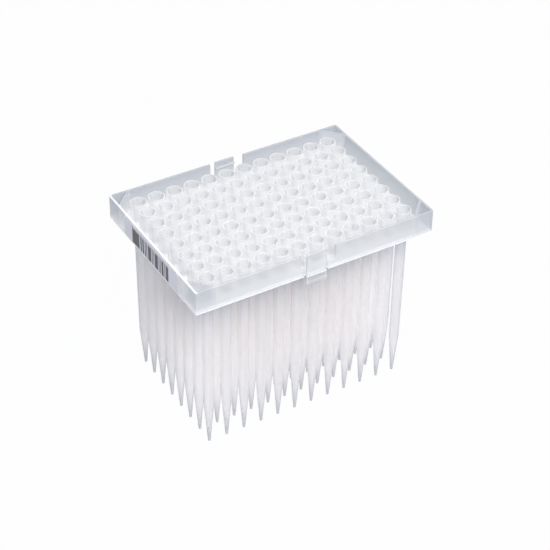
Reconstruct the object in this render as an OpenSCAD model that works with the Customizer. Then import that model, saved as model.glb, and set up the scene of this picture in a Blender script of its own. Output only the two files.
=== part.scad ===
// Tray of pipette tips: an open moulded tray whose deck carries a grid of tips that hang
// through it. Z is up, the origin lies in the plane of the tip ends under the tray's centre,
// and X runs along the tray's longer side.

/* [Grid] */
// Tips along the longer side
columns = 12; // [4:1:12]
// Tips along the shorter side
rows = 8; // [4:1:8]
// Distance from one tip to the next
pitch = 9; // [8.4:0.1:12]

/* [Tray] */
// Distance from the end tips' axes to the outer face of a short wall
end_margin = 10.2; // [7.5:0.1:20]
// Distance from the outer tips' axes to the outer face of a long wall
side_margin = 9.1; // [7.5:0.1:20]
// Thickness of the side walls and of the walls across the corners
wall = 1.1; // [0.8:0.1:1.6]
// Thickness of the deck that carries the tips
deck = 1.5; // [1:0.1:3]
// Height of the rim above the tops of the tips
rim_above_tips = 1.2; // [0.2:0.1:6]
// Radius of the tray's upright outer edges
edge_radius = 0.8; // [0.3:0.1:2]
// Least radius of the upright edges inside the walls
inner_edge_radius = 0.2; // [0.1:0.1:1]
// Gap between a corner tip's head and the wall across its corner
corner_gap = 1.9; // [0.5:0.1:2.6]

/* [Latches] */
// Width of the opening in each long wall around its latch
latch_opening = 17.4; // [15:0.2:24]
// Depth of that opening below the rim
opening_depth = 7.3; // [4:0.1:8.5]
// Width of the latch tab
tab_width = 9.8; // [6:0.1:11]
// Distance of the tab's middle from the middle of the wall, along X
tab_offset = -1; // [-1.5:0.1:1.5]
// Thickness of the tab
tab_thickness = 1.1; // [0.8:0.1:1.4]
// How far the tab's outer face stands out from the wall
tab_stand_out = 0.5; // [0:0.1:0.7]
// Gap on each side of the tab below the opening
tab_slot = 1.1; // [0.5:0.1:1.3]
// How far the tab hangs below the deck
tab_drop = 4.2; // [2:0.1:8]
// How far the barb at the tab's foot stands out
barb_depth = 0.8; // [0.3:0.1:1.5]
// Height of the barb
barb_height = 1.8; // [1:0.1:2]
// Height of the flat edge along the barb's tip
barb_edge = 0.4; // [0.2:0.1:0.6]
// How far the finger ridge stands in from the tab
ridge_depth = 0.8; // [0.3:0.1:1.5]
// Height of the finger ridge
ridge_height = 1; // [0.5:0.1:2]
// Distance from the rim down to the finger ridge
ridge_below_rim = 2.3; // [1:0.1:4]

/* [Tips] */
// Overall length of a tip
tip_length = 93.5; // [60:0.5:120]
// Height of the head above its shoulder
head_height = 8.9; // [8:0.1:14]
// Gap between the heads of neighbouring tips
head_gap = 1.2; // [0.8:0.1:2]
// Outer radius of the body just under the shoulder
body_radius = 2.5; // [2.2:0.05:2.8]
// Outer radius of the body where the point begins
point_radius = 2.3; // [1.5:0.05:2.5]
// Length of the point
point_length = 21; // [10:0.5:30]
// Outer radius of the open end
end_radius = 0.6; // [0.5:0.05:1.2]
// Wall of the body and the point
tip_wall = 0.55; // [0.4:0.05:0.7]
// Radius of the opening at the end
orifice_radius = 0.3; // [0.2:0.05:0.35]
// Radius of the socket that takes the pipette
socket_radius = 2.75; // [2.4:0.05:3]
// Depth of the socket's straight part below the lead-in
socket_depth = 2.8; // [2:0.1:3.4]
// Width of the flat lip around the mouth above the socket
lip = 0.5; // [0.3:0.05:0.6]
// Depth of the lead-in from the mouth to the socket
lead_in = 1.2; // [0.4:0.1:1.4]
// How far the tapered throat under the socket reaches below the shoulder
throat_drop = 0.5; // [0:0.1:1]
// Chamfer of the head's outer top edge
head_chamfer = 0.2; // [0.1:0.05:0.3]

/* [Fit] */
// Clearance around a tip's body in its hole in the deck
hole_clearance = 0.4; // [0.15:0.05:0.6]

/* [Label] */
// Length of the label on one short wall
label_length = 50; // [30:1:70]
// Distance from the rim, and from the wall's foot, to the label
label_margin = 0.8; // [0.5:0.1:3]
// Thickness of the label
label_thickness = 0.1; // [0.05:0.05:0.3]

/* [Hidden] */
$fn = 48;
// heights, all above the plane of the tip ends
deck_top = tip_length - head_height;
deck_foot = deck_top - deck;
rim_top = tip_length + rim_above_tips;
wall_height = rim_top - deck_foot;
// the first tip's place from the middle of the grid
first_x = -(columns - 1) * pitch / 2;
first_y = -(rows - 1) * pitch / 2;
// the head fills its share of the pitch, and the mouth opens inside its lip
head_radius = (pitch - head_gap) / 2;
mouth_radius = head_radius - head_chamfer - lip;
tray_length = 2 * (end_margin - first_x);
tray_width = 2 * (side_margin - first_y);
// how far a cut reaches past the face that it opens
past = 1;
// distance from the tray's centre to a corner wall, along the diagonal
corner_inside = (-first_x - first_y) / sqrt(2) + head_radius + corner_gap;

function tip_x(column) = first_x + column * pitch;
function tip_y(row) = first_y + row * pitch;

// A rectangle with round corners, centred on the origin
module round_rectangle(length, width, radius) {
    square([length - 2 * radius, width], center = true);
    square([length, width - 2 * radius], center = true);
    for (x = [-1, 1], y = [-1, 1])
        translate([x * (length / 2 - radius), y * (width / 2 - radius)])
            circle(radius);
}

// The deck and the four side walls, before any opening is cut
module tray_shell() {
    inner_radius = max(edge_radius - wall, inner_edge_radius);
    difference() {
        translate([0, 0, deck_foot])
            linear_extrude(wall_height)
                round_rectangle(tray_length, tray_width, edge_radius);
        translate([0, 0, deck_top])
            linear_extrude(wall_height)
                round_rectangle(tray_length - 2 * wall, tray_width - 2 * wall, inner_radius);
    }
}

// A wall across each corner of the tray, from the deck to the rim
module corner_walls() {
    intersection() {
        translate([0, 0, deck_top])
            linear_extrude(rim_top - deck_top)
                square([tray_length - wall, tray_width - wall], center = true);
        for (x = [-1, 1], y = [-1, 1])
            rotate([0, 0, atan2(y, x)])
                translate([corner_inside, -tray_width / 2, deck_top])
                    cube([wall, tray_width, rim_top - deck_top]);
    }
}

// The holes that the tips hang through
module tip_holes() {
    for (column = [0:columns - 1], row = [0:rows - 1])
        translate([tip_x(column), tip_y(row), deck_foot - past])
            cylinder(r = body_radius + hole_clearance, h = deck + 2 * past);
}

// The opening around one latch, cut through the long wall at -Y
module latch_cut() {
    slot_span = tab_width + 2 * tab_slot;
    translate([-latch_opening / 2, -tray_width / 2 - past, rim_top - opening_depth])
        cube([latch_opening, wall + past, opening_depth + past]);
    translate([tab_offset - slot_span / 2, -tray_width / 2 - past, deck_foot - past])
        cube([slot_span, wall + past, wall_height]);
}

// One latch tab in the long wall at -Y, hinged to the deck's edge: its barb stands out at
// the foot and its ridge stands in below the rim
module latch_tab() {
    tab_foot = deck_foot - tab_drop;
    tab_inside = tab_thickness - tab_stand_out;
    barb_top = tab_foot + barb_height;
    ridge_top = rim_top - ridge_below_rim;
    ridge_foot = ridge_top - ridge_height;
    profile = [
        [-tab_stand_out, tab_foot],
        [tab_inside, tab_foot],
        [tab_inside, deck_foot],
        [wall, deck_foot],
        [wall, deck_top],
        [tab_inside, deck_top],
        [tab_inside, ridge_foot - ridge_depth],
        [tab_inside + ridge_depth, ridge_foot],
        [tab_inside + ridge_depth, ridge_top],
        [tab_inside, ridge_top],
        [tab_inside, rim_top],
        [-tab_stand_out, rim_top],
        [-tab_stand_out, barb_top],
        [-tab_stand_out - barb_depth, barb_top],
        [-tab_stand_out - barb_depth, barb_top - barb_edge]
    ];
    translate([tab_offset - tab_width / 2, -tray_width / 2, 0])
        rotate([90, 0, 90])
            linear_extrude(tab_width)
                polygon(profile);
}

module tray() {
    color([0.9, 0.91, 0.93]) {
        difference() {
            union() {
                tray_shell();
                corner_walls();
            }
            tip_holes();
            latch_cut();
            mirror([0, 1, 0]) latch_cut();
        }
        latch_tab();
        mirror([0, 1, 0]) latch_tab();
    }
}

// One tip, standing on its open end at the origin
module tip() {
    socket_top = tip_length - lead_in;
    socket_foot = socket_top - socket_depth;
    throat_foot = deck_top - throat_drop;
    body_slope = (body_radius - point_radius) / (deck_top - point_length);
    body_at_throat = body_radius - body_slope * throat_drop;
    outside = [
        [end_radius, 0],
        [point_radius, point_length],
        [body_radius, deck_top],
        [head_radius, deck_top],
        [head_radius, tip_length - head_chamfer],
        [head_radius - head_chamfer, tip_length]
    ];
    inside = [
        [mouth_radius, tip_length],
        [socket_radius, socket_top],
        [socket_radius, socket_foot],
        [body_at_throat - tip_wall, throat_foot],
        [point_radius - tip_wall, point_length],
        [orifice_radius, 0]
    ];
    rotate_extrude()
        polygon(concat(outside, inside));
}

module tip_column(column) {
    color([0.92, 0.92, 0.95])
        for (row = [0:rows - 1])
            translate([tip_x(column), tip_y(row), 0])
                tip();
}

module barcode_label() {
    length = min(label_length, tray_width - 2 * edge_radius);
    color([0.86, 0.86, 0.92])
        translate([
            -tray_length / 2 - label_thickness,
            -length / 2,
            deck_foot + label_margin
        ])
            cube([label_thickness, length, wall_height - 2 * label_margin]);
}

tray();
barcode_label();
for (column = [1:columns])
    tip_column(column - 1);
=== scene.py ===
import math

import bmesh
import bpy
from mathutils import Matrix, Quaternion, Vector


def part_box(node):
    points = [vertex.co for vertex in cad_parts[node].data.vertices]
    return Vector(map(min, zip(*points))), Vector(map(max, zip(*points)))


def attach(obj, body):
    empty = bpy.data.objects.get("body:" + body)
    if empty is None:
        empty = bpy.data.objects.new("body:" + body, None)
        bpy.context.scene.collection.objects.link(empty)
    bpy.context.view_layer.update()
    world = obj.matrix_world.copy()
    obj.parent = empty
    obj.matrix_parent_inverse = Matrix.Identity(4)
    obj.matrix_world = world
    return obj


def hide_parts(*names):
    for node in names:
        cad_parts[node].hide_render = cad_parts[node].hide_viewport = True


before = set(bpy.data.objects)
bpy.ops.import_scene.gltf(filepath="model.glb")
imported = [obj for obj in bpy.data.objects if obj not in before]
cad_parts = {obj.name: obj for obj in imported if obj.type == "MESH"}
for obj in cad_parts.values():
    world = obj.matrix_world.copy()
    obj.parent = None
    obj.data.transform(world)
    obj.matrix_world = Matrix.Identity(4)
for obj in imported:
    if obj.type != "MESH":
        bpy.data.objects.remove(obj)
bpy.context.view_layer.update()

MM = 0.001
# How far a place may be out and still be taken for the same
NEAR = 0.01 * MM
# A cut or a wall reaches a hair past a face that it would else lie flush with
HAIR = 0.02 * MM

# The grid of tips
COLUMNS = 12
ROWS = 8
PITCH = 9 * MM
FIRST_X = -(COLUMNS - 1) * PITCH / 2
FIRST_Y = -(ROWS - 1) * PITCH / 2
HEAD_HEIGHT = 8.9 * MM
HEAD_RADIUS = 3.9 * MM
HOLE_RADIUS = 2.9 * MM

# The latch tabs and the openings around them
TAB_WIDTH = 9.8 * MM
TAB_MIDDLE = -1 * MM
TAB_THICKNESS = 1.1 * MM
TAB_STAND_OUT = 0.5 * MM
TAB_DROP = 4.2 * MM
TAB_SLOT = 1.1 * MM
BARB_DEPTH = 0.8 * MM
BARB_HEIGHT = 1.8 * MM
BARB_RISE = 1.4 * MM
RIDGE_DEPTH = 0.8 * MM
RIDGE_HEIGHT = 1 * MM
RIDGE_BELOW_RIM = 2.3 * MM
OPENING_WIDTH = 17.4 * MM
OPENING_DEPTH = 7.3 * MM

# The tray's heights and outer faces, read off the parts in model.glb
tray_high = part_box("tray")[1]
tip_low, tip_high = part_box("tip_column_1")
label_low, label_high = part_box("barcode_label")
WALL = 1.1 * MM
DECK_THICKNESS = 1.5 * MM
CORNER_GAP = 1.9 * MM
RIM = tray_high.z
DECK = tip_high.z - HEAD_HEIGHT
DECK_FOOT = DECK - DECK_THICKNESS
END = tray_high.x
SIDE = tray_high.y - (BARB_DEPTH + TAB_STAND_OUT)
TAB_INSIDE = SIDE + TAB_STAND_OUT - TAB_THICKNESS
TAB_FOOT = DECK_FOOT - TAB_DROP
RIDGE_TOP = RIM - RIDGE_BELOW_RIM
RIDGE_FOOT = RIDGE_TOP - RIDGE_HEIGHT
# From the middle out to the inner face of a corner's wall, along the diagonal
CORNER = -(FIRST_X + FIRST_Y) / math.sqrt(2) + HEAD_RADIUS + CORNER_GAP

# Rounds on the tray's edges
UPRIGHT_ROUND = 0.8 * MM
RIM_ROUND = 0.15 * MM
TAB_ROUND = 0.12 * MM


# ---------------------------------------------------------------- modelling by hand


def clear_selection():
    bpy.ops.object.select_all(action="DESELECT")


def take(piece):
    clear_selection()
    piece.select_set(True)
    bpy.context.view_layer.objects.active = piece


def open_mesh(piece):
    take(piece)
    bpy.ops.object.mode_set(mode="EDIT")


def close_mesh():
    bpy.ops.object.mode_set(mode="OBJECT")


def settle(piece):
    """Puts a piece's place, turn and scale in its mesh."""
    take(piece)
    bpy.ops.object.transform_apply(location=True, rotation=True, scale=True)


def pick(piece, kind, test):
    """Selects the vertices, edges or faces of the open mesh that pass a test."""
    bpy.ops.mesh.select_mode(type=kind)
    bpy.ops.mesh.select_all(action="DESELECT")
    mesh = bmesh.from_edit_mesh(piece.data)
    found = {"VERT": mesh.verts, "EDGE": mesh.edges, "FACE": mesh.faces}[kind]
    found.ensure_lookup_table()
    for part in found:
        if test(part):
            part.select_set(True)
    mesh.select_flush_mode()
    bmesh.update_edit_mesh(piece.data)


def middle(part):
    corners = [v.co for v in part.verts]
    return sum(corners, Vector()) / len(corners)


def span_x(edge):
    return abs(edge.verts[0].co.x - edge.verts[1].co.x)


def pull(x=0.0, y=0.0, z=0.0):
    """Extrudes what is selected and moves it."""
    bpy.ops.mesh.extrude_region_move(TRANSFORM_OT_translate={"value": (x, y, z)})


def grow(x, y, about):
    bpy.ops.transform.resize(value=(x, y, 1), center_override=about)


def face_outwards():
    bpy.ops.mesh.select_all(action="SELECT")
    bpy.ops.mesh.normals_make_consistent(inside=False)


def finish_modifier(piece, kind, **settings):
    take(piece)
    made = piece.modifiers.new(kind.title(), kind)
    for name, value in settings.items():
        setattr(made, name, value)
    bpy.ops.object.modifier_apply(modifier=made.name)


def repeat(piece, count, step, **settings):
    finish_modifier(
        piece,
        "ARRAY",
        count=count,
        use_relative_offset=False,
        use_constant_offset=True,
        constant_offset_displace=step,
        **settings,
    )


def block(name, low, high):
    """A box between two corners."""
    low, high = Vector(low), Vector(high)
    clear_selection()
    bpy.ops.mesh.primitive_cube_add(size=1, location=(low + high) / 2)
    piece = bpy.context.object
    piece.name = name
    piece.scale = high - low
    settle(piece)
    return piece


def combine(piece, tool, operation):
    """Joins a tool to a piece, or cuts the piece with it, and removes the tool."""
    finish_modifier(piece, "BOOLEAN", operation=operation, object=tool, solver="EXACT")
    mesh = tool.data
    bpy.data.objects.remove(tool)
    bpy.data.meshes.remove(mesh)


def gather(pieces, name):
    clear_selection()
    for piece in pieces:
        piece.select_set(True)
    bpy.context.view_layer.objects.active = pieces[0]
    bpy.ops.object.join()
    joined = bpy.context.object
    joined.name = name
    return joined


def soften(piece, width, segments, test):
    """Rounds the sharp outward edges that pass a test."""
    sharp = math.radians(40)
    open_mesh(piece)
    pick(piece, "EDGE", lambda e: e.is_convex and e.calc_face_angle(0) > sharp and test(e))
    bpy.ops.mesh.bevel(offset=width, segments=segments, profile=0.5, affect="EDGES")
    close_mesh()


def polish(piece, angle):
    """Smooth shading up to an angle, with flat faces kept flat beside small rounds."""
    take(piece)
    bpy.ops.object.shade_smooth_by_angle(angle=math.radians(angle))
    finish_modifier(piece, "WEIGHTED_NORMAL", keep_sharp=True)


def mend(piece):
    """Merges doubled vertices and turns every face outwards."""
    open_mesh(piece)
    bpy.ops.mesh.select_all(action="SELECT")
    bpy.ops.mesh.remove_doubles(threshold=0.002 * MM)
    face_outwards()
    close_mesh()


# ---------------------------------------------------------------- the tray


def deck_sheet():
    """The deck's upper face with its grid of holes, one square cell repeated."""
    at = (FIRST_X, FIRST_Y, DECK)
    clear_selection()
    bpy.ops.mesh.primitive_plane_add(size=PITCH, location=at)
    sheet = bpy.context.object
    sheet.name = "tray_body"
    settle(sheet)
    open_mesh(sheet)
    # the cell keeps its outline only, in 24 edges, and each meets one of the hole's
    bpy.ops.mesh.subdivide(number_cuts=5)
    edge = PITCH / 2 - 0.1 * MM
    pick(
        sheet,
        "VERT",
        lambda v: abs(v.co.x - FIRST_X) < edge and abs(v.co.y - FIRST_Y) < edge,
    )
    bpy.ops.mesh.delete(type="VERT")
    bpy.ops.mesh.primitive_circle_add(vertices=24, radius=HOLE_RADIUS, location=at)
    bpy.ops.mesh.select_mode(type="EDGE")
    bpy.ops.mesh.select_all(action="SELECT")
    bpy.ops.mesh.bridge_edge_loops()
    close_mesh()
    for count, step in ((COLUMNS, (PITCH, 0, 0)), (ROWS, (0, PITCH, 0))):
        repeat(sheet, count, step, use_merge_vertices=True, merge_threshold=NEAR)
    return sheet


def tray_walls(tray):
    """Widens the sheet to the walls, gives it its thickness and raises the walls."""
    half_x, half_y = COLUMNS * PITCH / 2, ROWS * PITCH / 2
    inside_x, inside_y = END - WALL, SIDE - WALL
    open_mesh(tray)
    for x, y, new_x, new_y in (
        (half_x, half_y, inside_x, inside_y),
        (inside_x, inside_y, END, SIDE),
    ):
        near = 0.05 * MM
        pick(
            tray,
            "EDGE",
            lambda e: e.is_boundary
            and (abs(abs(middle(e).x) - x) < near or abs(abs(middle(e).y) - y) < near),
        )
        bpy.ops.mesh.extrude_region_move()
        grow(new_x / x, new_y / y, (0, 0, DECK))
    bpy.ops.mesh.select_all(action="SELECT")
    pull(z=-DECK_THICKNESS)
    face_outwards()
    pick(
        tray,
        "FACE",
        lambda f: f.normal.z > 0.9
        and middle(f).z > DECK - 0.1 * MM
        and (abs(middle(f).x) > inside_x or abs(middle(f).y) > inside_y),
    )
    pull(z=RIM - DECK)
    close_mesh()


def corner_walls(tray):
    """A low wall set across each corner, joined to the tray."""
    line = CORNER * math.sqrt(2)
    bury = 0.16 * MM
    reach_x, reach_y = END - WALL + bury, SIDE - WALL + bury
    ends = (Vector((reach_x, line - reach_x, 0)), Vector((line - reach_y, reach_y, 0)))
    length = (ends[0] - ends[1]).length
    centre = (ends[0] + ends[1]) / 2 + Vector((1, 1, 0)).normalized() * WALL / 2
    foot, top = DECK - 0.09 * MM, RIM - 0.01 * MM
    walls = []
    for across in (1, -1):
        for along in (1, -1):
            clear_selection()
            bpy.ops.mesh.primitive_cube_add(
                size=1,
                location=(centre.x * across, centre.y * along, (foot + top) / 2),
                rotation=(0, 0, math.radians(45 if across == along else -45)),
            )
            wall = bpy.context.object
            wall.scale = (WALL, length, top - foot)
            settle(wall)
            soften(wall, RIM_ROUND, 2, lambda e: middle(e).z > RIM - 0.1 * MM)
            walls.append(wall)
    combine(tray, gather(walls, "corner_walls"), "UNION")


def latch_tab(side):
    """One latch tab: hinged to the deck's edge, a barb at its foot, a ridge at its top."""
    outer, inner = -SIDE - TAB_STAND_OUT, -TAB_INSIDE
    barb_top = TAB_FOOT + BARB_HEIGHT
    tab = block(
        f"latch_tab_{'back' if side > 0 else 'front'}",
        (TAB_MIDDLE - TAB_WIDTH / 2, outer, TAB_FOOT),
        (TAB_MIDDLE + TAB_WIDTH / 2, inner, RIM),
    )
    slope_foot = RIDGE_FOOT - RIDGE_DEPTH
    open_mesh(tab)
    for height in (barb_top, DECK_FOOT, DECK, slope_foot, RIDGE_FOOT, RIDGE_TOP):
        bpy.ops.mesh.select_all(action="SELECT")
        bpy.ops.mesh.bisect(plane_co=(0, 0, height), plane_no=(0, 0, 1))

    def between(low, high, facing):
        return lambda f: low < middle(f).z < high and f.normal.y * facing > 0.9

    def barb_foot(e):
        out = middle(e).y < outer - BARB_DEPTH + 0.1 * MM
        return out and middle(e).z < TAB_FOOT + NEAR and span_x(e) > MM

    pick(tab, "FACE", between(TAB_FOOT, barb_top, -1))
    pull(y=-BARB_DEPTH)
    pick(tab, "EDGE", barb_foot)
    bpy.ops.transform.translate(value=(0, 0, BARB_RISE))
    pick(tab, "FACE", between(RIDGE_FOOT, RIDGE_TOP, 1))
    pull(y=RIDGE_DEPTH)
    pick(tab, "FACE", between(DECK_FOOT, DECK, 1))
    pull(y=WALL - (TAB_THICKNESS - TAB_STAND_OUT) + 0.05 * MM)
    close_mesh()

    def off_the_hinge(e):
        at = middle(e)
        return not (DECK_FOOT - NEAR < at.z < DECK + NEAR and at.y > inner + NEAR)

    soften(tab, TAB_ROUND, 2, off_the_hinge)
    if side > 0:
        take(tab)
        tab.scale = (1, -1, 1)
        settle(tab)
    mend(tab)
    return tab


def latch_openings(tray):
    """The openings through both long walls, and the slots beside the tabs down to the foot."""
    past = 1 * MM
    half_slot = TAB_WIDTH / 2 + TAB_SLOT
    half_opening = OPENING_WIDTH / 2
    cuts = []
    # a cut reaches a hair inside the wall, so that no skin of its inner face stays behind
    for side in (-1, 1):
        low_y, high_y = sorted((side * (SIDE - WALL - HAIR), side * (SIDE + 2 * past)))
        opening = block(
            "opening",
            (-half_opening, low_y, RIM - OPENING_DEPTH),
            (half_opening, high_y, RIM + past),
        )
        slot = block(
            "slot",
            (TAB_MIDDLE - half_slot, low_y, DECK_FOOT - past),
            (TAB_MIDDLE + half_slot, high_y, RIM + past),
        )
        cuts += [opening, slot]
    for cut in cuts:
        combine(tray, cut, "DIFFERENCE")


def make_tray():
    tray = deck_sheet()
    tray_walls(tray)
    mend(tray)

    def at_corner(e):
        return abs(abs(middle(e).x) - END) < NEAR and abs(abs(middle(e).y) - SIDE) < NEAR

    def at_rim(e):
        return min(v.co.z for v in e.verts) > RIM - NEAR

    def at_foot(e):
        out = abs(middle(e).x) > END - WALL or abs(middle(e).y) > SIDE - WALL
        return out and max(v.co.z for v in e.verts) < DECK_FOOT + NEAR

    soften(tray, UPRIGHT_ROUND, 4, at_corner)
    soften(tray, RIM_ROUND, 2, lambda e: at_rim(e) or at_foot(e))
    corner_walls(tray)
    latch_openings(tray)
    for side in (-1, 1):
        combine(tray, latch_tab(side), "UNION")
    # rounding the edges can leave a hair-sized gap where a tab meets its hinge
    open_mesh(tray)
    bpy.ops.mesh.select_all(action="SELECT")
    bpy.ops.mesh.fill_holes(sides=3)
    close_mesh()
    return tray


# ---------------------------------------------------------------- the tips

# Radius and height of each ring of a tip in millimetres: the open end, the point, the body,
# the shoulder, the head, the lip, the lead-in, the socket, the throat and down the bore
TIP_RINGS = (
    (0.34, 0.0),
    (0.52, 0.0),
    (0.6, 0.14),
    (2.24, 20.2),
    (2.3, 21.2),
    (2.31, 22.6),
    (2.49, 83.9),
    (2.56, 84.45),
    (2.8, 84.6),
    (3.68, 84.6),
    (3.85, 84.68),
    (3.9, 84.9),
    (3.9, 93.05),
    (3.86, 93.32),
    (3.74, 93.46),
    (3.58, 93.5),
    (3.36, 93.5),
    (3.2, 93.38),
    (3.1, 93.2),
    (2.76, 92.3),
    (2.75, 89.6),
    (2.7, 89.1),
    (1.96, 84.1),
    (1.9, 80.0),
    (1.75, 21.0),
    (0.32, 0.3),
)


def make_tip():
    """One tip, drawn ring by ring from its open end up the outside and down the bore."""
    clear_selection()
    radius, height = TIP_RINGS[0]
    at = (FIRST_X, FIRST_Y, tip_low.z)
    bpy.ops.mesh.primitive_circle_add(vertices=28, radius=radius * MM, location=at)
    tip = bpy.context.object
    tip.name = "tip"
    settle(tip)
    open_mesh(tip)
    bpy.ops.mesh.select_mode(type="EDGE")
    bpy.ops.mesh.select_all(action="SELECT")
    for new_radius, new_height in TIP_RINGS[1:]:
        pull(z=(new_height - height) * MM)
        share = new_radius / radius
        grow(share, share, (FIRST_X, FIRST_Y, tip_low.z + new_height * MM))
        radius, height = new_radius, new_height
    pick(tip, "EDGE", lambda e: e.is_boundary)
    bpy.ops.mesh.bridge_edge_loops()
    face_outwards()
    close_mesh()
    return tip


def make_tip_columns():
    column = make_tip()
    repeat(column, ROWS, (0, PITCH, 0))
    polish(column, 40)
    column.name = "tips_column_1"
    columns = [column]
    for number in range(2, COLUMNS + 1):
        take(column)
        bpy.ops.object.duplicate()
        copy = bpy.context.object
        copy.name = f"tips_column_{number}"
        copy.location.x += (number - 1) * PITCH
        settle(copy)
        columns.append(copy)
    return columns


# ---------------------------------------------------------------- the label


def make_label():
    """A thin sheet with round corners."""
    label = block("barcode_sticker", label_low, label_high)
    open_mesh(label)
    pick(label, "EDGE", lambda e: span_x(e) > 0.05 * MM)
    bpy.ops.mesh.bevel(offset=0.7 * MM, segments=4, profile=0.5, affect="EDGES")
    close_mesh()
    return label


# ---------------------------------------------------------------- shader maths


class Recipe:
    """The node tree of a material or a world, under construction."""

    def __init__(self, owner):
        owner.use_nodes = True
        self.owner = owner
        self.tree = owner.node_tree
        self.tree.nodes.clear()

    def node(self, kind, settings=None, sockets=None):
        """Adds a node of one type: its settings first, then its sockets' values or links."""
        made = self.tree.nodes.new(kind)
        for name, value in (settings or {}).items():
            setattr(made, name, value)
        for name, value in (sockets or {}).items():
            if isinstance(value, Number):
                value = value.socket
            if isinstance(value, bpy.types.NodeSocket):
                self.tree.links.new(value, made.inputs[name])
            else:
                made.inputs[name].default_value = value
        return made

    def mix(self, share, first, second):
        """A mix of two shaders, with so much of the second."""
        sockets = {0: share, 1: first.outputs[0], 2: second.outputs[0]}
        return self.node("ShaderNodeMixShader", None, sockets)


class Number:
    """A shader value that sums and products can be written on."""

    def __init__(self, recipe, socket):
        self.recipe = recipe
        self.socket = socket

    def maths(self, operation, *values, clamp=False):
        made = self.recipe.node(
            "ShaderNodeMath",
            {"operation": operation, "use_clamp": clamp},
            dict(enumerate(values)),
        )
        return Number(self.recipe, made.outputs[0])

    def __add__(self, other):
        return self.maths("ADD", self, other)

    __radd__ = __add__

    def __sub__(self, other):
        return self.maths("SUBTRACT", self, other)

    def __rsub__(self, other):
        return self.maths("SUBTRACT", other, self)

    def __mul__(self, other):
        return self.maths("MULTIPLY", self, other)

    __rmul__ = __mul__

    def __gt__(self, other):
        return self.maths("GREATER_THAN", self, other)

    def __lt__(self, other):
        return self.maths("LESS_THAN", self, other)

    def __pow__(self, other):
        return self.maths("POWER", self, other)

    def clamped(self):
        return self.maths("ADD", self, 0.0, clamp=True)

    def size(self):
        return self.maths("ABSOLUTE", self)

    def at_least(self, other):
        return self.maths("MAXIMUM", self, other)

    def wrapped(self, low, high):
        return self.maths("WRAP", self, high, low)


class Finish(Recipe):
    """A material, with the place on the object as its x, y and z."""

    def __init__(self, name):
        super().__init__(bpy.data.materials.new(name))
        self.place = self.node("ShaderNodeTexCoord").outputs["Object"]
        parts = self.node("ShaderNodeSeparateXYZ", None, {0: self.place})
        self.x, self.y, self.z = (Number(self, s) for s in parts.outputs)

    def noise(self, scale, detail, stretch=(1, 1, 1)):
        """Soft noise between 0 and 1, at so many features a metre."""
        mapped = self.node("ShaderNodeMapping", None, {"Vector": self.place, "Scale": stretch})
        sockets = {"Vector": mapped.outputs[0], "Scale": scale, "Detail": detail}
        made = self.node("ShaderNodeTexNoise", None, sockets)
        return Number(self, made.outputs["Fac"])

    def fade(self, value, start, end):
        """0 before the start and 1 past the end, evenly between them."""
        sockets = {0: value, 1: start, 2: end, 3: 0.0, 4: 1.0}
        made = self.node("ShaderNodeMapRange", {"clamp": True}, sockets)
        return Number(self, made.outputs[0])

    def blend(self, share, first, second):
        """A mix of two colours, with so much of the second."""
        settings = {"data_type": "RGBA", "clamp_factor": True}
        return self.node("ShaderNodeMix", settings, {0: share, 6: first, 7: second}).outputs[2]

    def edge_on(self):
        """How far the surface is turned from sight, as a thin milky wall grows denser there."""
        made = self.node("ShaderNodeLayerWeight", None, {"Blend": 0.3})
        return Number(self, made.outputs["Facing"])

    def bumps(self, height, distance, strength):
        sockets = {"Height": height, "Distance": distance, "Strength": strength}
        return self.node("ShaderNodeBump", None, sockets).outputs["Normal"]

    def close(self, body=None, milk_colour=None, through=0.0, **sockets):
        """Ends in a Principled skin. A milky one also passes light through, and lets sight
        through where its body is under 1."""
        named = {name.replace("_", " "): value for name, value in sockets.items()}
        skin = self.node("ShaderNodeBsdfPrincipled", None, named)
        if body is not None:
            passed = self.node("ShaderNodeBsdfTranslucent", None, {"Color": milk_colour})
            clear = self.node("ShaderNodeBsdfTransparent")
            skin = self.mix(body, clear, self.mix(through, skin, passed))
        self.node("ShaderNodeOutputMaterial", None, {"Surface": skin.outputs[0]})
        return self.owner


def colour(red, green, blue):
    """Linear colour of an sRGB value from 0 to 255."""

    def linear(v):
        v /= 255
        return v / 12.92 if v <= 0.04045 else ((v + 0.055) / 1.055) ** 2.4

    return (linear(red), linear(green), linear(blue), 1.0)


# ---------------------------------------------------------------- finishes

PLASTIC_IOR = 1.49


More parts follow.
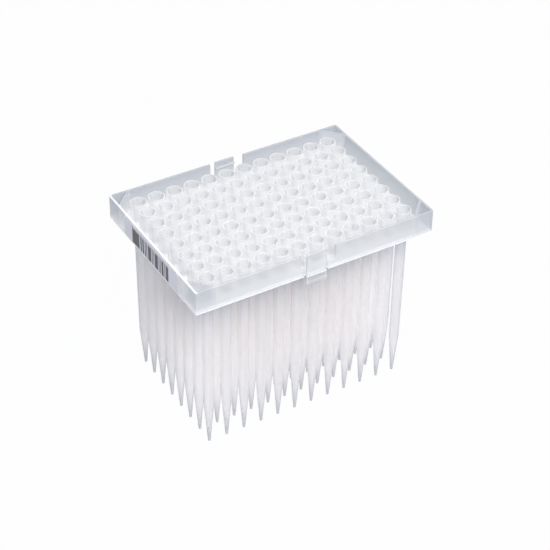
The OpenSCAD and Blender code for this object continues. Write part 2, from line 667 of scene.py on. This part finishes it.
def tray_finish():
    """Milky moulded polypropylene, a little cloudier in places, with a satin skin, and with
    painted shade and painted highlights.
    """
    f = Finish("milky tray plastic")
    cloud = f.noise(90, 3)
    grain = f.noise(2600, 2)
    flow = f.noise(60, 2, (0.25, 1, 3))
    pale, paler = colour(230, 231, 232), colour(236, 236, 237)
    shade = f.blend((cloud * 0.7 + flow * 0.5 - 0.1).clamped(), pale, paler)
    far_x, far_y = f.x.size(), f.y.size()

    # painted shade: the walls are greyer towards the rim, most of all inside
    painted_rim_shade, painted_foot_shade, painted_deck_shade = (
        colour(186, 189, 198),
        colour(214, 217, 221),
        colour(206, 209, 214),
    )
    height = f.fade(f.z, DECK + 2 * MM, RIM - MM)
    inside = (far_x < END - WALL / 2) * (far_y < SIDE - WALL / 2)
    shade = f.blend(height * (0.08 + inside * 0.77), shade, painted_rim_shade)
    # painted shade: their outsides are darkened towards the foot, where the deck's light would
    # show
    low = f.fade(f.z, DECK + 3.5 * MM, DECK_FOOT + MM) * (1 - inside)
    shade = f.blend(low * 0.5, shade, painted_foot_shade)
    # painted shade: the deck's upper face is greyer between the heads
    shaded_deck_face = inside * (f.z > DECK - 0.05 * MM) * (f.z < DECK + 0.05 * MM)
    shade = f.blend(shaded_deck_face * 0.4, shade, painted_deck_shade)

    # painted light: the walls across the corners are painted lighter, and are made denser
    corner_highlight, pocket_shade_colour = colour(242, 243, 244), colour(190, 198, 214)
    line = CORNER * math.sqrt(2)
    slant = far_x + far_y
    corners = (slant > line - HAIR) * (slant < line + WALL * 1.5)
    corners = corners * inside * (f.z > DECK + 0.1 * MM) * (f.z < RIM - 0.3 * MM)
    shade = f.blend(corners * 0.5, shade, corner_highlight)
    # painted shade: with nothing behind them, the walls past the corner walls are painted cooler
    # and darker, and are made a little clearer
    shaded_pockets = f.fade(slant, line + 1.2 * MM, line + 1.8 * MM)
    shaded_pockets = shaded_pockets * f.fade(f.z, DECK - MM, DECK + 5 * MM)
    shade = f.blend(shaded_pockets * 0.25, shade, pocket_shade_colour)

    # painted highlights: whiter on the deck and its foot edge, along the rim, most beside the
    # label, and in the barbs
    beside = f.x < WALL + 0.1 * MM - END
    rim = f.fade(f.z, RIM - 0.25 * MM, RIM - 0.1 * MM) * (0.15 + beside * 0.6)
    edge = f.fade(f.z, DECK_FOOT + 0.95 * MM, DECK_FOOT + 0.65 * MM)
    deck = inside * f.fade(f.z, DECK + 0.4 * MM, DECK + 0.05 * MM) * 0.15
    above_foot = f.fade(f.z, DECK_FOOT - 0.2 * MM, DECK_FOOT - 0.05 * MM)
    lip = f.fade(f.z, TAB_FOOT + 1.7 * MM, TAB_FOOT + 1.2 * MM) * 0.3

    # painted highlight on the tabs' ridges, and painted shade in a line below them and along the
    # tabs' flanks
    painted_tab_shade = colour(150, 155, 163)
    across = (f.x - TAB_MIDDLE).size()
    half_tab = TAB_WIDTH / 2
    # painted highlight on the tabs' sides below the foot
    hanging_highlight = (f.z < DECK_FOOT - 0.1 * MM) * (across > half_tab - 0.2 * MM) * 0.7
    on_tab = (across < half_tab + 0.05 * MM) * (far_y > TAB_INSIDE - 0.9 * MM) * (f.z > DECK)
    ridge = on_tab * (far_y < TAB_INSIDE - HAIR)
    ridge = ridge * (f.z > RIDGE_FOOT) * (f.z < RIDGE_TOP + 0.1 * MM)
    under = on_tab * (far_y < TAB_INSIDE + 0.1 * MM)
    under = under * (f.z > RIDGE_FOOT - MM) * (f.z < RIDGE_FOOT - 0.1 * MM)
    shaded_flanks = on_tab * (across > half_tab - 0.04 * MM) * (far_y > TAB_INSIDE - 0.1 * MM)
    shade = f.blend((under * 0.5 + shaded_flanks * 0.4).clamped(), shade, painted_tab_shade)

    # the painted highlights together; where they are, the plastic is also denser and lets less
    # light through
    glow = (rim + (edge + deck) * above_foot + hanging_highlight + lip + ridge * 0.3).clamped()
    body = 0.29 + glow * 0.5 + corners * 0.12 - shaded_pockets * 0.03 + shaded_flanks * 0.2
    return f.close(
        Base_Color=f.blend(glow, shade, colour(250, 251, 252)),
        Roughness=0.34 + grain * 0.12,
        IOR=PLASTIC_IOR,
        body=body + f.edge_on() * 0.3,
        milk_colour=colour(240, 241, 242),
        through=(0.4 - height * inside * 0.2 - low * 0.2 - beside * 0.2) * (1 - glow),
        Normal=f.bumps(grain, 0.02 * MM, 0.5),
    )


def tip_finish():
    """Clear-milky tip plastic, drawn along the tip, smooth and slightly glossy, with painted
    shade and a painted highlight.
    """
    f = Finish("milky tip plastic")
    streak = f.noise(420, 2, (1, 1, 0.06))
    cloud = f.noise(120, 2)
    # distance from the axis of the nearest tip
    across = (f.x - FIRST_X).wrapped(-PITCH / 2, PITCH / 2)
    along = (f.y - FIRST_Y).wrapped(-PITCH / 2, PITCH / 2)
    radius = (across * across + along * along) ** 0.5

    # the bodies are warmer and the heads cooler
    warm = f.blend(streak, colour(250, 248, 249), colour(254, 252, 252))
    cool = f.blend(cloud, colour(239, 240, 241), colour(244, 244, 245))
    shade = f.blend(f.fade(f.z, DECK - 14 * MM, DECK), warm, cool)
    # painted shadow of the tray: the bodies are bluer and darker for a way below the deck
    tray_shadow_band = f.fade(f.z, DECK - 22 * MM, DECK - 3 * MM) * (f.z < DECK)
    shade = f.blend(tray_shadow_band * 0.5, shade, colour(208, 214, 228))
    # painted highlight and painted shade: the heads' outsides are painted whiter and made
    # denser, their sockets painted greyer and made matt
    lit_sleeve = (radius > 3.4 * MM) * (f.z > DECK + 0.3 * MM)
    shade = f.blend(lit_sleeve * 0.6, shade, colour(248, 248, 249))
    # painted shade in the sockets
    socket = f.fade(radius, 3.35 * MM, 3.1 * MM) * (f.z > DECK)
    shade = f.blend(socket * 0.9, shade, colour(178, 183, 189))
    # painted shade: the point is greyer, and denser and less see-through
    shaded_point = f.fade(f.z, 20 * MM, 3 * MM)
    shade = f.blend(shaded_point * 0.8, shade, colour(196, 199, 204))
    return f.close(
        Base_Color=shade,
        Roughness=0.26 + streak * 0.1 + socket * 0.2,
        IOR=PLASTIC_IOR,
        body=0.3 + lit_sleeve * 0.16 + shaded_point * 0.35 + f.edge_on() * 0.25,
        milk_colour=colour(252, 250, 250),
        through=0.48 - socket * 0.36 - shaded_point * 0.35 - tray_shadow_band * 0.08,
        Normal=f.bumps(streak, 0.01 * MM, 0.4),
    )


# Back and front end of each printed bar in millimetres, along the label
BARS = (
    (17.4, 10.6),
    (9.6, 8.3),
    (7.7, 6.3),
    (5.5, 4.6),
    (4.0, 3.2),
    (2.4, -0.6),
    (-1.3, -2.0),
    (-2.6, -3.2),
    (-3.9, -6.9),
    (-7.6, -8.2),
    (-8.8, -9.5),
    (-10.2, -12.0),
    (-12.8, -13.5),
    (-14.1, -16.4),
)
BARS_FOOT, BARS_TOP = 84.3 * MM, 91.9 * MM
RULE_FOOT, RULE_TOP = 92.3 * MM, 92.6 * MM
RULE_BACK, RULE_FRONT = 18.4 * MM, -16.4 * MM


def label_finish():
    """Lilac-white coated paper with plain dark bars of uneven widths under a thin rule."""
    f = Finish("bar label paper")
    ink = 0.0
    for back, front in BARS:
        ink = (f.y < back * MM) * (f.y > front * MM) + ink
    band = (f.z > BARS_FOOT) * (f.z < BARS_TOP)
    rule = (f.z > RULE_FOOT) * (f.z < RULE_TOP) * (f.y < RULE_BACK) * (f.y > RULE_FRONT)
    outer = f.x < label_low.x + 0.04 * MM
    printed = (ink * band + rule).clamped() * outer
    wear = f.noise(1500, 3)
    paper = f.blend(f.noise(200, 3), colour(224, 223, 234), colour(231, 230, 240))
    dark = f.blend(wear, colour(24, 25, 33), colour(46, 48, 58))
    return f.close(
        Base_Color=f.blend(printed, paper, dark),
        Roughness=0.5 - printed * 0.12,
        Normal=f.bumps(wear, 0.01 * MM, 0.3),
    )


def dress(piece, material):
    piece.data.materials.clear()
    piece.data.materials.append(material)
    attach(piece, "root")


# ---------------------------------------------------------------- the object

tray = make_tray()
polish(tray, 35)
tray.name = "tray_body"
dress(tray, tray_finish())
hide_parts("tray")

tip_plastic = tip_finish()
for number, column in enumerate(make_tip_columns(), 1):
    dress(column, tip_plastic)
    # thin milky plastic lets the lamps through
    column.visible_shadow = False
    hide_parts(f"tip_column_{number}")

sticker = make_label()
dress(sticker, label_finish())
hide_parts("barcode_label")

# ---------------------------------------------------------------- studio

WHITE = (1, 1, 1, 1)


def white_for_sight(recipe, lit, plain, share=1.0):
    """Plain white to eyes, mirrors and glass, and as lit behind the tray's and tips' plastic."""
    ray = recipe.node("ShaderNodeLightPath").outputs
    seen = Number(recipe, ray["Is Camera Ray"]).at_least(ray["Is Glossy Ray"])
    seen = seen.at_least(ray["Is Transmission Ray"])
    direct = Number(recipe, ray["Transparent Depth"]) < 0.5
    return recipe.mix(seen * direct * share, lit, plain)


clear_selection()
bpy.ops.mesh.primitive_plane_add(size=6, location=(0, 0, -0.02 * MM))
floor = bpy.context.object
floor.name = "floor"
settle(floor)
paint = Recipe(bpy.data.materials.new("white floor"))
matt = paint.node("ShaderNodeBsdfDiffuse", None, {"Color": (0.34, 0.37, 0.42, 1)})
glow = paint.node("ShaderNodeEmission", None, {"Color": WHITE, "Strength": 1.0})
painted = white_for_sight(paint, matt, glow, 0.98)
paint.node("ShaderNodeOutputMaterial", None, {"Surface": painted.outputs[0]})
floor.data.materials.append(paint.owner)

sky = Recipe(bpy.data.worlds.new("studio"))
bpy.context.scene.world = sky.owner
soft = sky.node("ShaderNodeBackground", None, {"Color": (0.965, 0.98, 1.0, 1), "Strength": 0.68})
plain = sky.node("ShaderNodeBackground", None, {"Color": WHITE, "Strength": 1.0})
around = white_for_sight(sky, soft, plain)
sky.node("ShaderNodeOutputWorld", None, {"Surface": around.outputs[0]})


def softbox(name, at, towards, size, power, tint=(1, 1, 1)):
    light = bpy.data.lights.new(name, "AREA")
    light.shape = "SQUARE"
    light.size = size
    light.energy = power
    light.color = tint
    lamp = bpy.data.objects.new(name, light)
    bpy.context.scene.collection.objects.link(lamp)
    lamp.location = at
    aim = Vector(towards) - Vector(at)
    lamp.rotation_mode = "QUATERNION"
    lamp.rotation_quaternion = aim.to_track_quat("-Z", "Y")


softbox("overhead", (0.05, 0.1, 0.75), (0, 0, 0.06), 0.6, 0.35, (0.88, 0.94, 1))
softbox("front", (-0.1, -0.6, 0.72), (0, 0, 0.05), 0.5, 6.4, (1, 0.985, 0.975))
softbox("left", (-0.65, -0.25, 0.7), (0, 0, 0.05), 0.5, 0.35)
softbox("right", (0.7, -0.2, 0.55), (0, 0, 0.05), 0.5, 0.9)
softbox("back", (0.1, 0.8, 0.5), (0, 0, 0.05), 0.6, 0.7)

# The camera looks down from the front left, a little rolled
TURN, RISE, ROLL = math.radians(-31.17), math.radians(37.77), math.radians(0.91)
DISTANCE = 738.2 * MM
ASIDE = 2.45 * MM
TARGET = Vector((0, 0, 54.43 * MM))

camera_data = bpy.data.cameras.new("camera")
camera_data.sensor_width = 36
camera_data.lens = 105.52
camera_data.clip_start = 0.01
camera_data.clip_end = 20
camera = bpy.data.objects.new("camera", camera_data)
bpy.context.scene.collection.objects.link(camera)
bpy.context.scene.camera = camera
level = math.cos(RISE)
back = Vector((math.sin(TURN) * level, -math.cos(TURN) * level, math.sin(RISE)))
right = Vector((math.cos(TURN), math.sin(TURN), 0))
rolled_right = right * math.cos(ROLL) + back.cross(right) * math.sin(ROLL)
camera.location = back * DISTANCE + rolled_right * ASIDE + TARGET
camera.rotation_mode = "QUATERNION"
camera.rotation_quaternion = Quaternion(-back, -ROLL) @ (-back).to_track_quat("-Z", "Y")

bpy.context.scene.view_settings.view_transform = "Standard"
